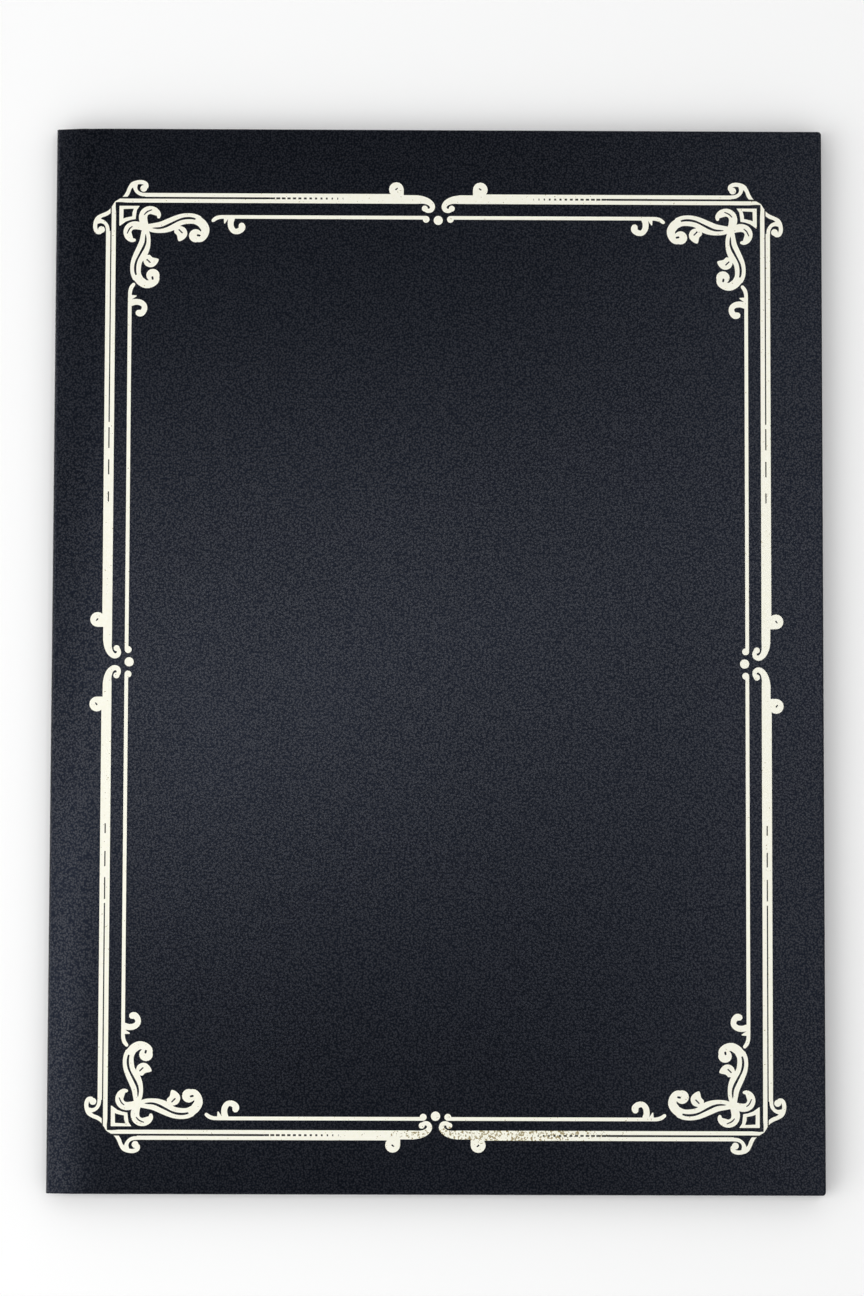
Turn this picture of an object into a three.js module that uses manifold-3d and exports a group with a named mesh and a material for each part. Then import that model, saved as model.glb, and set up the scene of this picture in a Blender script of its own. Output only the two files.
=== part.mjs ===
// A certificate holder: two leatherette covers on a soft spine, a scroll border stamped in foil on
// the front, moire liners, four ribbon corners and a clear sheet. It is closed and lies on its back.
// Millimetres: X from the spine to the fore-edge, Y from the tail to the head, Z up out of the front.
import * as THREE from 'three';
import { mergeVertices } from 'three/addons/utils/BufferGeometryUtils.js';
import Module from 'manifold-3d';

const wasm = await Module();
wasm.setup();

// The sheet that the holder is made for, and the margins round it
const PAPER_WIDTH = 210;
const PAPER_HEIGHT = 297;
const PAPER_SIDE_MARGIN = 1.5;
const PAPER_END_MARGIN = 2.5;
const LINER_FORE_INSET = 3.5;
const LINER_SPINE_INSET = 8;
const LINER_END_INSET = 4;

// Thicknesses of the layers, from the outside in
const SKIN = 0.5;
const BOARD = 1.2;
const LINER_CARD = 0.3;
const MOIRE = 0.2;
const CLEAR_SHEET = 0.15;
const RIBBON = 0.15;
const SPINE_LINING = 0.3;
const FOIL = 0.1;

// Clearances
const GLUE = 0.05;
const PLAY = 0.1;
const MITRE_GAP = 0.1;

// Cover edges and turn-ins
const TURN_IN = 15;
const EDGE_RADIUS = 0.5;
const CORNER_RADIUS = 1;
const ROUND_STEPS = 3;

// The soft spine: a joint strip beside each board, and a narrow strip down the back
const JOINT_WIDTH = 10.5;
const SPINE_HEIGHT = 2.6;

// Ribbon corners
const RIBBON_WIDTH = 12;
const RIBBON_REACH = 55;
const RIBBON_TAB = 10;

// The foil border: margins to the inner edge of its bars, and the widths of bars and rules
const BORDER_MARGIN = { head: 22, tail: 18.4, spine: 17.75, fore: 18.05 };
const BAR_WIDTH = 2.85;
const BAR_END_WIDTH = 2.55;
const BAR_SLIT = 0.35;
const BAR_SLIT_DEPTH = 1.6;
const RULE_WIDTH = 1.05;
const RULE_INSET = { head: 3.6, tail: 2.8, spine: 3.75, fore: 3.65 };
const RULE_START_GAP = { short: 0.5, long: -1.65 };
const DOT_RADIUS = 1.35;
const FLOWER_CENTRE = [8.4, 7.2];
const STROKE_STEPS = 3;
const DISC_STEPS = 16;
const FINEST_EDGE = 0.06;
const STRAIGHT_WITHIN = 0.012;

// Sizes that follow from the ones above
const LINER_WIDTH = PAPER_WIDTH + 2 * PAPER_SIDE_MARGIN;
const LINER_HEIGHT = PAPER_HEIGHT + 2 * PAPER_END_MARGIN;
const COVER_WIDTH = LINER_WIDTH + LINER_FORE_INSET + LINER_SPINE_INSET;
const COVER_HEIGHT = LINER_HEIGHT + 2 * LINER_END_INSET;
const FORE_X = COVER_WIDTH / 2;
const SPINE_X = -COVER_WIDTH / 2;
const JOINT_X = SPINE_X + JOINT_WIDTH;
const LINER_X = FORE_X - LINER_FORE_INSET - LINER_WIDTH / 2;

// Heights of the layers of one cover, measured from its outer face
const BOARD_Z = SKIN + GLUE;
const TURN_IN_Z = BOARD_Z + BOARD + GLUE;
const COVER_THICKNESS = TURN_IN_Z + SKIN;
const RIBBON_TAB_Z = COVER_THICKNESS + GLUE;
const CARD_Z = RIBBON_TAB_Z + RIBBON + GLUE;
const MOIRE_Z = CARD_Z + LINER_CARD + GLUE;
const LINER_TOP = MOIRE_Z + MOIRE;
const SHEET_Z = LINER_TOP + PLAY;
const RIBBON_Z = SHEET_Z + CLEAR_SHEET + PLAY;
const RIBBON_TOP = RIBBON_Z + RIBBON;
const CLOSED_HEIGHT = RIBBON_TOP + PLAY + LINER_TOP;

// Materials
const finish = (color, roughness, metalness = 0) =>
  new THREE.MeshStandardMaterial({ color, roughness, metalness });
const leatherette = finish('#22252d', 0.55);
const greyboard = finish('#8b877c', 0.9);
const card = finish('#e8e2d2', 0.85);
const moire = finish('#e6dcc3', 0.5);
const satin = finish('#efe6cf', 0.4);
const spineCloth = finish('#1d2027', 0.75);
const foil = finish('#f0ead0', 0.35, 1);
const clearFilm = finish('#f4f6f6', 0.08);
clearFilm.transparent = true;
clearFilm.opacity = 0.25;

const holder = new THREE.Group();
const frontCover = new THREE.Group();
frontCover.rotation.x = Math.PI;
frontCover.position.z = CLOSED_HEIGHT;
holder.add(frontCover);

function addPiece(group, name, geometry, material) {
  const mesh = new THREE.Mesh(geometry, material);
  mesh.name = name;
  group.add(mesh);
}

// Solids for joining and cutting

function toSolid(geometry) {
  const plain = geometry.clone();
  plain.deleteAttribute('normal');
  plain.deleteAttribute('uv');
  const merged = mergeVertices(plain, 1e-5);
  return new wasm.Manifold(
    new wasm.Mesh({
      numProp: 3,
      vertProperties: new Float32Array(merged.attributes.position.array),
      triVerts: new Uint32Array(merged.index.array),
    }),
  );
}

function toGeometry(solid) {
  const mesh = solid.getMesh();
  const geometry = new THREE.BufferGeometry();
  geometry.setAttribute('position', new THREE.BufferAttribute(mesh.vertProperties, 3));
  geometry.setIndex(new THREE.BufferAttribute(mesh.triVerts, 1));
  geometry.computeVertexNormals();
  return geometry;
}

function block(x0, x1, y0, y1, z0, z1) {
  const geometry = new THREE.BoxGeometry(x1 - x0, y1 - y0, z1 - z0);
  geometry.translate((x0 + x1) / 2, (y0 + y1) / 2, (z0 + z1) / 2);
  return geometry;
}

function prism(shape, z, depth) {
  const geometry = new THREE.ExtrudeGeometry(shape, { depth, bevelEnabled: false });
  geometry.translate(0, 0, z);
  return geometry;
}

function join(geometries, cuts = []) {
  let whole = toSolid(geometries[0]);
  for (const geometry of geometries.slice(1)) whole = whole.add(toSolid(geometry));
  for (const cut of cuts) whole = whole.subtract(toSolid(cut));
  return whole;
}

// Cover leatherette: a rounded slab, hollowed for the board, open at the spine side and with a
// window in its inner face that leaves the turn-in on the other three sides

function coverSkin() {
  const overrun = JOINT_WIDTH / 2;
  const x0 = JOINT_X - overrun;
  const x1 = FORE_X - EDGE_RADIUS;
  const y1 = COVER_HEIGHT / 2 - EDGE_RADIUS;
  const arc = CORNER_RADIUS - EDGE_RADIUS;
  const outline = new THREE.Shape();
  outline.moveTo(x0, -y1);
  outline.lineTo(x1 - arc, -y1);
  outline.absarc(x1 - arc, -y1 + arc, arc, -Math.PI / 2, 0);
  outline.lineTo(x1, y1 - arc);
  outline.absarc(x1 - arc, y1 - arc, arc, 0, Math.PI / 2);
  outline.lineTo(x0, y1);
  const slab = new THREE.ExtrudeGeometry(outline, {
    depth: COVER_THICKNESS - 2 * EDGE_RADIUS,
    bevelThickness: EDGE_RADIUS,
    bevelSize: EDGE_RADIUS,
    bevelSegments: ROUND_STEPS,
    curveSegments: ROUND_STEPS,
  });
  slab.translate(0, 0, EDGE_RADIUS);
  const past = x0 - overrun;
  const top = COVER_THICKNESS;
  const half = COVER_HEIGHT / 2;
  const hollowed = join(
    [slab],
    [
      block(past, JOINT_X + MITRE_GAP, -COVER_HEIGHT, COVER_HEIGHT, -top, 2 * top),
      block(past, FORE_X - SKIN, -half + SKIN, half - SKIN, SKIN, TURN_IN_Z),
      block(past, FORE_X - TURN_IN, -half + TURN_IN, half - TURN_IN, BOARD_Z, 2 * top),
    ],
  );
  return toGeometry(hollowed);
}

const coverBoard = () =>
  block(
    JOINT_X + MITRE_GAP,
    FORE_X - SKIN - GLUE,
    -COVER_HEIGHT / 2 + SKIN + GLUE,
    COVER_HEIGHT / 2 - SKIN - GLUE,
    BOARD_Z,
    BOARD_Z + BOARD,
  );

// Liner: a thin card with the moire drawn over its face and down its four edges

const LINER_LEFT = LINER_X - LINER_WIDTH / 2;
const LINER_RIGHT = LINER_X + LINER_WIDTH / 2;
const LINER_END = LINER_HEIGHT / 2;

function linerCard() {
  const inset = MOIRE + GLUE;
  return block(
    LINER_LEFT + inset,
    LINER_RIGHT - inset,
    -LINER_END + inset,
    LINER_END - inset,
    CARD_Z,
    CARD_Z + LINER_CARD,
  );
}

function linerMoire() {
  const outside = block(LINER_LEFT, LINER_RIGHT, -LINER_END, LINER_END, CARD_Z, LINER_TOP);
  const inside = block(
    LINER_LEFT + MOIRE,
    LINER_RIGHT - MOIRE,
    -LINER_END + MOIRE,
    LINER_END - MOIRE,
    CARD_Z - MOIRE,
    MOIRE_Z,
  );
  return toGeometry(join([outside], [inside]));
}

for (const [side, group] of [['back', holder], ['front', frontCover]]) {
  addPiece(group, `${side}_cover_leatherette`, coverSkin(), leatherette);
  addPiece(group, `${side}_board`, coverBoard(), greyboard);
  addPiece(group, `${side}_liner_card`, linerCard(), card);
  addPiece(group, `${side}_moire_lining`, linerMoire(), moire);
}

// Ribbon corner: a flat strip across one corner of the back liner. Both ends fold round the liner's
// edge and lie under the card, turned the way a folded ribbon turns.

function ribbonCorner(sideX, sideY) {
  const cornerX = sideX > 0 ? LINER_RIGHT : LINER_LEFT;
  const place = (p, q) => new THREE.Vector2(cornerX - sideX * p, sideY * (LINER_END - q));
  const flat = (points) => new THREE.Shape(points.map(([p, q]) => place(p, q)));
  const outer = -GLUE - RIBBON;
  const near = RIBBON_REACH - RIBBON_WIDTH / Math.SQRT2 - outer;
  const far = RIBBON_REACH + RIBBON_WIDTH / Math.SQRT2 - outer;
  const swap = (points) => points.map(([p, q]) => [q, p]);
  const wall = [[near, outer], [far, outer], [far, outer + RIBBON], [near, outer + RIBBON]];
  const tab = [
    [near, outer],
    [far, outer],
    [far + RIBBON_TAB, outer + RIBBON_TAB],
    [near + RIBBON_TAB, outer + RIBBON_TAB],
  ];
  const strip = [[near, outer], [far, outer], [outer, far], [outer, near]];
  const height = RIBBON_TOP - RIBBON_TAB_Z;
  const folded = join([
    prism(flat(strip), RIBBON_Z, RIBBON),
    prism(flat(wall), RIBBON_TAB_Z, height),
    prism(flat(swap(wall)), RIBBON_TAB_Z, height),
    prism(flat(tab), RIBBON_TAB_Z, RIBBON),
    prism(flat(swap(tab)), RIBBON_TAB_Z, RIBBON),
  ]);
  return toGeometry(folded);
}

const CORNERS = [
  ['head', 'spine', -1, 1],
  ['head', 'fore', 1, 1],
  ['tail', 'spine', -1, -1],
  ['tail', 'fore', 1, -1],
];
for (const [end, side, sideX, sideY] of CORNERS) {
  addPiece(holder, `ribbon_${end}_${side}`, ribbonCorner(sideX, sideY), satin);
}

// Clear sheet over the place for the certificate, under the ribbons

addPiece(
  holder,
  'clear_sheet',
  block(
    LINER_X - PAPER_WIDTH / 2,
    LINER_X + PAPER_WIDTH / 2,
    -PAPER_HEIGHT / 2,
    PAPER_HEIGHT / 2,
    SHEET_Z,
    SHEET_Z + CLEAR_SHEET,
  ),
  clearFilm,
);

// Soft spine: its outer face runs from the back board's edge over the fold to the front board's edge.
// Three strips, each of leatherette and a cloth lining, are mitred so that they open flat on their
// outer face.

const FOLD_Z = CLOSED_HEIGHT / 2;
const SPINE_LINE = [
  new THREE.Vector2(FORE_X, 0),
  new THREE.Vector2(JOINT_X, 0),
  new THREE.Vector2(SPINE_X, FOLD_Z - SPINE_HEIGHT / 2),
  new THREE.Vector2(SPINE_X, FOLD_Z + SPINE_HEIGHT / 2),
  new THREE.Vector2(JOINT_X, CLOSED_HEIGHT),
  new THREE.Vector2(FORE_X, CLOSED_HEIGHT),
];
const headings = SPINE_LINE.slice(1).map((p, i) => p.clone().sub(SPINE_LINE[i]).normalize());
const inward = headings.map((d) => new THREE.Vector2(d.y, -d.x));

// The bend at each corner of the line, as the shift of the corner for each millimetre of depth
const mitres = SPINE_LINE.slice(1, -1).map((_, i) => {
  const sum = inward[i].clone().add(inward[i + 1]);
  return sum.divideScalar(1 + inward[i].dot(inward[i + 1]));
});

function spineStrip(index, depth0, depth1, length) {
  const clear = headings[index].clone().multiplyScalar(MITRE_GAP / 2);
  const corner = (i, depth) => SPINE_LINE[i].clone().addScaledVector(mitres[i - 1], depth);
  const outline = new THREE.Shape([
    corner(index, depth0).add(clear),
    corner(index + 1, depth0).sub(clear),
    corner(index + 1, depth1).sub(clear),
    corner(index, depth1).add(clear),
  ]);
  const geometry = prism(outline, -length / 2, length);
  geometry.rotateX(Math.PI / 2);
  return geometry;
}

const SPINE_STRIPS = ['back_joint', 'spine', 'front_joint'];
SPINE_STRIPS.forEach((name, i) => {
  const lined = SKIN + GLUE;
  const outer = spineStrip(i + 1, 0, SKIN, COVER_HEIGHT);
  const inner = spineStrip(i + 1, lined, lined + SPINE_LINING, LINER_HEIGHT);
  addPiece(holder, `${name}_leatherette`, outer, leatherette);
  addPiece(holder, `${name}_lining`, inner, spineCloth);
});

// Foil border. Each half of a side is drawn from its corner, where the inner edges of the bars meet:
// a runs along the side towards its middle, and b inwards across it.

const BORDER_HALF_WIDTH = (COVER_WIDTH - BORDER_MARGIN.spine - BORDER_MARGIN.fore) / 2;
const BORDER_HALF_HEIGHT = (COVER_HEIGHT - BORDER_MARGIN.head - BORDER_MARGIN.tail) / 2;
const BORDER_X = (BORDER_MARGIN.spine - BORDER_MARGIN.fore) / 2;
const BORDER_Y = (BORDER_MARGIN.tail - BORDER_MARGIN.head) / 2;
const FOIL_Z = CLOSED_HEIGHT + GLUE;

// A stroke is a smooth centre line of points [a, b, width] with round ends
function strokeOutline(points) {
  const line = new THREE.CatmullRomCurve3(points.map((p) => new THREE.Vector3(...p)));
  const steps = (points.length - 1) * STROKE_STEPS;
  const samples = line.getPoints(steps);
  const left = [];
  const right = [];
  const headingAt = (i) => {
    const before = samples[Math.max(i - 1, 0)];
    const after = samples[Math.min(i + 1, steps)];
    return Math.atan2(after.y - before.y, after.x - before.x);
  };
  const around = (i, turn) => {
    const angle = headingAt(i) + turn;
    const reach = samples[i].z / 2;
    return [samples[i].x + reach * Math.cos(angle), samples[i].y + reach * Math.sin(angle)];
  };
  const quarter = Math.PI / 2;
  samples.forEach((_, i) => {
    left.push(around(i, quarter));
    right.unshift(around(i, -quarter));
  });
  const endCap = [around(steps, quarter / 2), around(steps, 0), around(steps, -quarter / 2)];
  const startCap = [around(0, -1.5 * quarter), around(0, 2 * quarter), around(0, 1.5 * quarter)];
  return [...left, ...endCap, ...right, ...startCap];
}

function discOutline(a, b, radius) {
  return Array.from({ length: DISC_STEPS }, (_, i) => {
    const turn = (2 * Math.PI * i) / DISC_STEPS;
    return [a + radius * Math.cos(turn), b + radius * Math.sin(turn)];
  });
}

const rectangle = (a0, a1, b0, b1) => [[a0, b0], [a1, b0], [a1, b1], [a0, b1]];

// The loops of edges round the upper face of a flat solid that stands on z = 0
function upperLoops(solid) {
  const { vertProperties, triVerts } = solid.getMesh();
  const isUpper = (v) => vertProperties[3 * v + 2] > 0;
  const onward = new Map();
  const edges = new Set();
  for (let t = 0; t < triVerts.length; t += 3) {
    const corners = [...triVerts.slice(t, t + 3)];
    if (!corners.every(isUpper)) continue;
    corners.forEach((from, i) => {
      const to = corners[(i + 1) % 3];
      if (!edges.delete(`${to} ${from}`)) edges.add(`${from} ${to}`);
    });
  }
  for (const edge of edges) {
    const [from, to] = edge.split(' ').map(Number);
    onward.set(from, to);
  }
  const loops = [];
  while (onward.size > 0) {
    const loop = [];
    let v = onward.keys().next().value;
    while (onward.has(v)) {
      loop.push(new THREE.Vector2(vertProperties[3 * v], vertProperties[3 * v + 1]));
      const to = onward.get(v);
      onward.delete(v);
      v = to;
    }
    loops.push(loop);
  }
  return loops;
}

// A loop without the points that lie too close together or on a straight run
function plainLoop(loop) {
  const spaced = [];
  for (const p of loop) {
    if (spaced.length === 0 || p.distanceTo(spaced.at(-1)) > FINEST_EDGE) spaced.push(p);
  }
  if (spaced[0].distanceTo(spaced.at(-1)) < FINEST_EDGE) spaced.pop();
  return spaced.filter((p, i) => {
    const before = spaced.at(i - 1);
    const after = spaced[(i + 1) % spaced.length];
    const run = after.clone().sub(before);
    return Math.abs(run.cross(p.clone().sub(before))) > STRAIGHT_WITHIN * run.length();
  });
}

function foilPiece(name, place, outlines, cuts = []) {
  const flat = (outline) => prism(new THREE.Shape(outline.map(([a, b]) => place(a, b))), 0, FOIL);
  const through = (outline) => flat(outline).scale(1, 1, 3).translate(0, 0, -FOIL);
  const loops = upperLoops(join(outlines.map(flat), cuts.map(through))).map(plainLoop);
  const isHole = (loop) => THREE.ShapeUtils.isClockWise(loop);
  const shape = new THREE.Shape(loops.find((loop) => !isHole(loop)));
  shape.holes = loops.filter(isHole).map((loop) => new THREE.Path(loop));
  addPiece(holder, name, prism(shape, FOIL_Z, FOIL), foil);
}

// Outer bar: two rules that part near the corner into a hook with a curled tip, and end at the middle
// of the side in an inward curl, with a snail curl standing on the outside

const BAR_TIP = [[-0.1, -0.25, 0.3], [1.2, -0.6, 0.9], [3.2, -0.62, 1.24]];
const BAR_HOOK = [
  [-0.1, -0.25, 0.3],
  [1.25, -0.7, 0.9],
  [2.55, -1.65, 1],
  [3.4, -2.85, 1.15],
  [3.95, -4.25, 1.1],
  [4.85, -5.35, 1.4],
  [6.35, -6, 1.2],
  [7.75, -6, 1.2],
  [8.75, -5.45, 1.2],
  [8.9, -4.65, 1.1],
];
const BAR_NECK = [
  [8.95, -2.32, 1.05],
  [7.25, -2.5, 1.05],
  [6.05, -3.25, 1],
  [5.55, -4.35, 1.2],
  [5.55, -5.25, 1.5],
];
const HOOK_BALL = [8.05, -4.2, 1];
const BAR_BODY_START = 8.5;
const SLIT_START = 6.3;
const SLIT_SHARE = 0.45;
const BAR_CURL = [
  [6.4, -1.28, 2.55],
  [4.1, -1.05, 2.1],
  [2.4, -0.25, 1.7],
  [1.7, 0.85, 1.5],
  [2.1, 1.85, 1.35],
  [3.2, 2.05, 1.2],
  [4, 1.5, 1.2],
];
const CURL_BALL = [3.95, 1.4, 0.88];
const SNAIL = [12.3, -4.2, 2.15];
const SNAIL_EYE = [[12, -4.55, 0.35], [12.45, -4.2, 0.45]];
const SNAIL_STEM = [10.15, 13.1];

function outerBar(name, place, half) {
  const fromMiddle = (points) => points.map(([a, ...rest]) => [half - a, ...rest]);
  const bodyEnd = half - BAR_CURL[0][0];
  const [[snailA, snailB, snailRadius]] = fromMiddle([SNAIL]);
  const [[curlA, curlB, curlRadius]] = fromMiddle([CURL_BALL]);
  const slitTop = BAR_SLIT_DEPTH - BAR_SLIT;
  const slitEnd = SLIT_START + SLIT_SHARE * (half - SLIT_START);
  foilPiece(
    name,
    place,
    [
      rectangle(BAR_BODY_START, snailA, -BAR_WIDTH, 0),
      rectangle(snailA, bodyEnd, -BAR_END_WIDTH, 0),
      rectangle(BAR_TIP[2][0], BAR_BODY_START, -slitTop, 0),
      strokeOutline(BAR_TIP),
      strokeOutline(BAR_HOOK),
      strokeOutline(BAR_NECK),
      discOutline(...HOOK_BALL),
      strokeOutline(fromMiddle(BAR_CURL)),
      discOutline(curlA, curlB, curlRadius),
      discOutline(snailA, snailB, snailRadius),
      rectangle(half - SNAIL_STEM[1], half - SNAIL_STEM[0], snailB, -BAR_END_WIDTH / 2),
    ],
    [
      rectangle(SLIT_START, slitEnd, -BAR_SLIT_DEPTH, -slitTop),
      strokeOutline(fromMiddle(SNAIL_EYE)),
    ],
  );
}

// Inner rule: a plain line with a turned tip, a barb and a hook near the corner, and a ball at the
// middle of the side. Its points run from the tip, and from the rule's outer edge.

const RULE_TIP = [[0.55, 1.6, 1], [1.45, 0.95, 1.15], [2.6, 0.6, 1.1], [4, 0.525, 1.05]];
const RULE_BARB = [[4.4, 0.7, 1.5], [4.15, 1.6, 0.95], [3.95, 2.3, 0.4]];
const RULE_HOOK = [
  [6, 0.9, 1.9],
  [5.7, 2.2, 1.75],
  [5.9, 3.7, 1.7],
  [6.8, 4.75, 1.6],
  [8.1, 4.7, 1.7],
  [9.05, 3.8, 1.9],
  [8.95, 3.15, 1.9],
];
const RULE_BALL = [3.55, 1, 1];

function innerRule(name, place, half, start, inset) {
  const shifted = (points) => points.map(([a, b, width]) => [start + a, inset + b, width]);
  const [ballA, ballB, ballRadius] = RULE_BALL;
  foilPiece(name, place, [
    rectangle(start + RULE_TIP[3][0], half - ballA, inset, inset + RULE_WIDTH),
    strokeOutline(shifted(RULE_TIP)),
    strokeOutline(shifted(RULE_BARB)),
    strokeOutline(shifted(RULE_HOOK)),
    discOutline(half - ballA, inset + ballB, ballRadius),
  ]);
}

// Corner flower: two scroll branches and two crescents round one centre, alike either side of the
// diagonal. Its points run from the flower's centre.

const CRESCENT = [
  [0.45, -0.2, 1.6],
  [-0.25, -1.5, 2.3],
  [-0.48, -2.9, 2.45],
  [0.05, -4.3, 2.4],
  [1.45, -5, 2.35],
  [3.05, -4.6, 2.2],
  [4.05, -3.7, 1.45],
  [4.1, -3, 1],
];
const CRESCENT_SLIT = [[-0.1, -3.65, 0.3], [0.6, -4.4, 0.4], [2, -5.05, 0.3]];
const BRANCH_UPPER = [
  [0.4, 0.1, 1.6],
  [2.55, -0.45, 1.3],
  [4.55, -0.75, 1.5],
  [6.55, -1.55, 1.5],
  [8.55, -2.48, 1.4],
  [10.55, -3.25, 1.2],
  [12.55, -3.55, 1.1],
  [14.55, -3.35, 1.15],
  [16, -2.7, 1.3],
];
const BRANCH_LOWER = [
  [0.6, 0.4, 1.2],
  [2.55, 1.05, 1.15],
  [4.55, 1.2, 1.15],
  [6.55, 0.85, 1.45],
  [8.55, 0, 1.7],
  [10.55, -1.22, 1.4],
  [12.55, -1.63, 1.35],
  [14.55, -1.55, 1.25],
  [16, -0.9, 1.3],
];
const SCROLL = [
  [15.9, -1.9, 2.4],
  [16.95, -0.85, 2.6],
  [17.75, 0.6, 2.45],
  [17.45, 2.2, 2.3],
  [16.45, 3.3, 2.2],
  [15.2, 3.3, 2.1],
];
const SCROLL_BALL = [14.95, 2.55, 1.95];
const SCROLL_EYE = [[15.55, 2.4, 0.6], [16.1, 2.5, 0.6]];
const BUD = [
  [9.4, -0.2],
  [8.65, 1.5],
  [9.45, 2.4],
  [9.75, 3.7],
  [10.05, 4.2],
  [11.2, 3.8],
  [12.3, 2.7],
  [12.45, 1.4],
  [11.6, 0.1],
];
const BUD_SLIT = [[10.1, 0.8, 0.4], [11, 1.7, 0.4]];
const FLOWER_HEART = [0.15, 0.15, 0.95];
const LONG_BRANCH_SHARE = 0.955;
const SCROLL_REACH = Math.max(...SCROLL.map(([p, , width]) => p + width / 2));

function smoothLoop(points) {
  const loop = new THREE.CatmullRomCurve3(points.map(([a, b]) => new THREE.Vector3(a, b, 0)), true);
  const samples = loop.getPoints(points.length * STROKE_STEPS);
  return samples.slice(0, -1).map((p) => [p.x, p.y]);
}

function cornerFlower(name, place) {
  const [centreA, centreB] = FLOWER_CENTRE;
  const alongShort = ([p, q]) => [centreA + p, centreB + q];
  const alongLong = ([p, q]) => [centreA + q, centreB + p * LONG_BRANCH_SHARE];
  const outlines = [discOutline(...FLOWER_HEART).map(alongShort)];
  const cuts = [];
  for (const turn of [alongShort, alongLong]) {
    for (const stroke of [CRESCENT, BRANCH_UPPER, BRANCH_LOWER, SCROLL]) {
      outlines.push(strokeOutline(stroke).map(turn));
    }
    outlines.push(discOutline(...SCROLL_BALL).map(turn));
    outlines.push(smoothLoop(BUD).map(turn));
    for (const slit of [CRESCENT_SLIT, SCROLL_EYE, BUD_SLIT]) cuts.push(strokeOutline(slit).map(turn));
  }
  foilPiece(name, place, outlines, cuts);
}

// Corner diamond: a small open kite between the bars and the flower

const DIAMOND = [
  [1, 1],
  [6.9, 1],
  [6.1, 2.2],
  [5.9, 3.5],
  [5.75, 4.9],
  [4.3, 5.15],
  [2.9, 5.65],
  [1.25, 6.85],
  [1, 6.85],
];
const DIAMOND_HOLE = [[2.2, 1.95], [5.2, 1.8], [4.8, 3.1], [4.75, 4.1], [3, 4.45], [2.15, 4.75]];

// The four corners, each with its two half sides, and a dot in the middle of each side. The inner
// rules start beside the ends of the flower's scrolls.

const RULE_START = {
  short: FLOWER_CENTRE[0] + SCROLL_REACH + RULE_START_GAP.short,
  long: FLOWER_CENTRE[1] + SCROLL_REACH * LONG_BRANCH_SHARE + RULE_START_GAP.long,
};
for (const [end, side, sideX, sideY] of CORNERS) {
  const cornerX = BORDER_X + sideX * BORDER_HALF_WIDTH;
  const cornerY = BORDER_Y + sideY * BORDER_HALF_HEIGHT;
  const onShort = (a, b) => new THREE.Vector2(cornerX - sideX * a, cornerY - sideY * b);
  const onLong = (a, b) => onShort(b, a);
  outerBar(`foil_bar_${end}_${side}`, onShort, BORDER_HALF_WIDTH);
  outerBar(`foil_bar_${side}_${end}`, onLong, BORDER_HALF_HEIGHT);
  innerRule(`foil_rule_${end}_${side}`, onShort, BORDER_HALF_WIDTH, RULE_START.short, RULE_INSET[end]);
  innerRule(`foil_rule_${side}_${end}`, onLong, BORDER_HALF_HEIGHT, RULE_START.long, RULE_INSET[side]);
  cornerFlower(`foil_flower_${end}_${side}`, onShort);
  foilPiece(`foil_diamond_${end}_${side}`, onShort, [DIAMOND], [DIAMOND_HOLE]);
}

const DOT_INSET = 1.3;
const dots = {
  head: [BORDER_X, BORDER_Y + BORDER_HALF_HEIGHT - RULE_INSET.head - DOT_INSET],
  tail: [BORDER_X, BORDER_Y - BORDER_HALF_HEIGHT + RULE_INSET.tail + DOT_INSET],
  spine: [BORDER_X - BORDER_HALF_WIDTH + RULE_INSET.spine + DOT_INSET, BORDER_Y],
  fore: [BORDER_X + BORDER_HALF_WIDTH - RULE_INSET.fore - DOT_INSET, BORDER_Y],
};
for (const [side, [x, y]] of Object.entries(dots)) {
  const place = (a, b) => new THREE.Vector2(x + a, y + b);
  foilPiece(`foil_dot_${side}`, place, [discOutline(0, 0, DOT_RADIUS)]);
}

export default holder;
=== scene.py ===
from math import asin, pi, radians, tan

import bmesh
import bpy
from mathutils import Matrix, Vector


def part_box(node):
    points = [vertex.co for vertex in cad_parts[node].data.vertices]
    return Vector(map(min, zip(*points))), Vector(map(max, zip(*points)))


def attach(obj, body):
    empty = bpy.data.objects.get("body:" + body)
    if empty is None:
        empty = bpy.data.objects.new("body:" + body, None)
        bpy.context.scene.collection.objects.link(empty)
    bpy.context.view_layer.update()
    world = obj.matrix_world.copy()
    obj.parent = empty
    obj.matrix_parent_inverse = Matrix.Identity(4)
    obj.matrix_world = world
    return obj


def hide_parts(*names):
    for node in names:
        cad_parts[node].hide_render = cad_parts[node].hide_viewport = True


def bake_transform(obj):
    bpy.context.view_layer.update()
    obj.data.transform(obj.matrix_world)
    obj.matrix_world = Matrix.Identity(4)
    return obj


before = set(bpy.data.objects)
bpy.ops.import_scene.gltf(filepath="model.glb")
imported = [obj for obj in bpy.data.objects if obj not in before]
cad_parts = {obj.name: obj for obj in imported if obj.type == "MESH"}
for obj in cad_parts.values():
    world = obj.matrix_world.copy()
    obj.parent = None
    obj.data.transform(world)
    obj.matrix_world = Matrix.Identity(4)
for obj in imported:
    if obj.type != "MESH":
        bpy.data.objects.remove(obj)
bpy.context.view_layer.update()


# Cover boards: two sheets of grey board, pulped from waste paper, pressed and cut square.
# They stiffen the covers and lie glued between the leatherette and the linings.
MM = 0.001


def linear(code):
    """The linear colour, with full alpha, of an sRGB hex code."""
    parts = [int(code[at:at + 2], 16) / 255 for at in (1, 3, 5)]
    curve = [p / 12.92 if p <= 0.04045 else ((p + 0.055) / 1.055) ** 2.4 for p in parts]
    return curve + [1]


def add_node(tree, kind, sockets, **settings):
    """A new node, with its settings, and each input set to a value or linked to a socket."""
    made = tree.nodes.new(kind)
    for name, value in settings.items():
        setattr(made, name, value)
    for name, value in sockets.items():
        if isinstance(value, bpy.types.NodeSocket):
            tree.links.new(value, made.inputs[name])
        else:
            made.inputs[name].default_value = value
    return made


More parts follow.
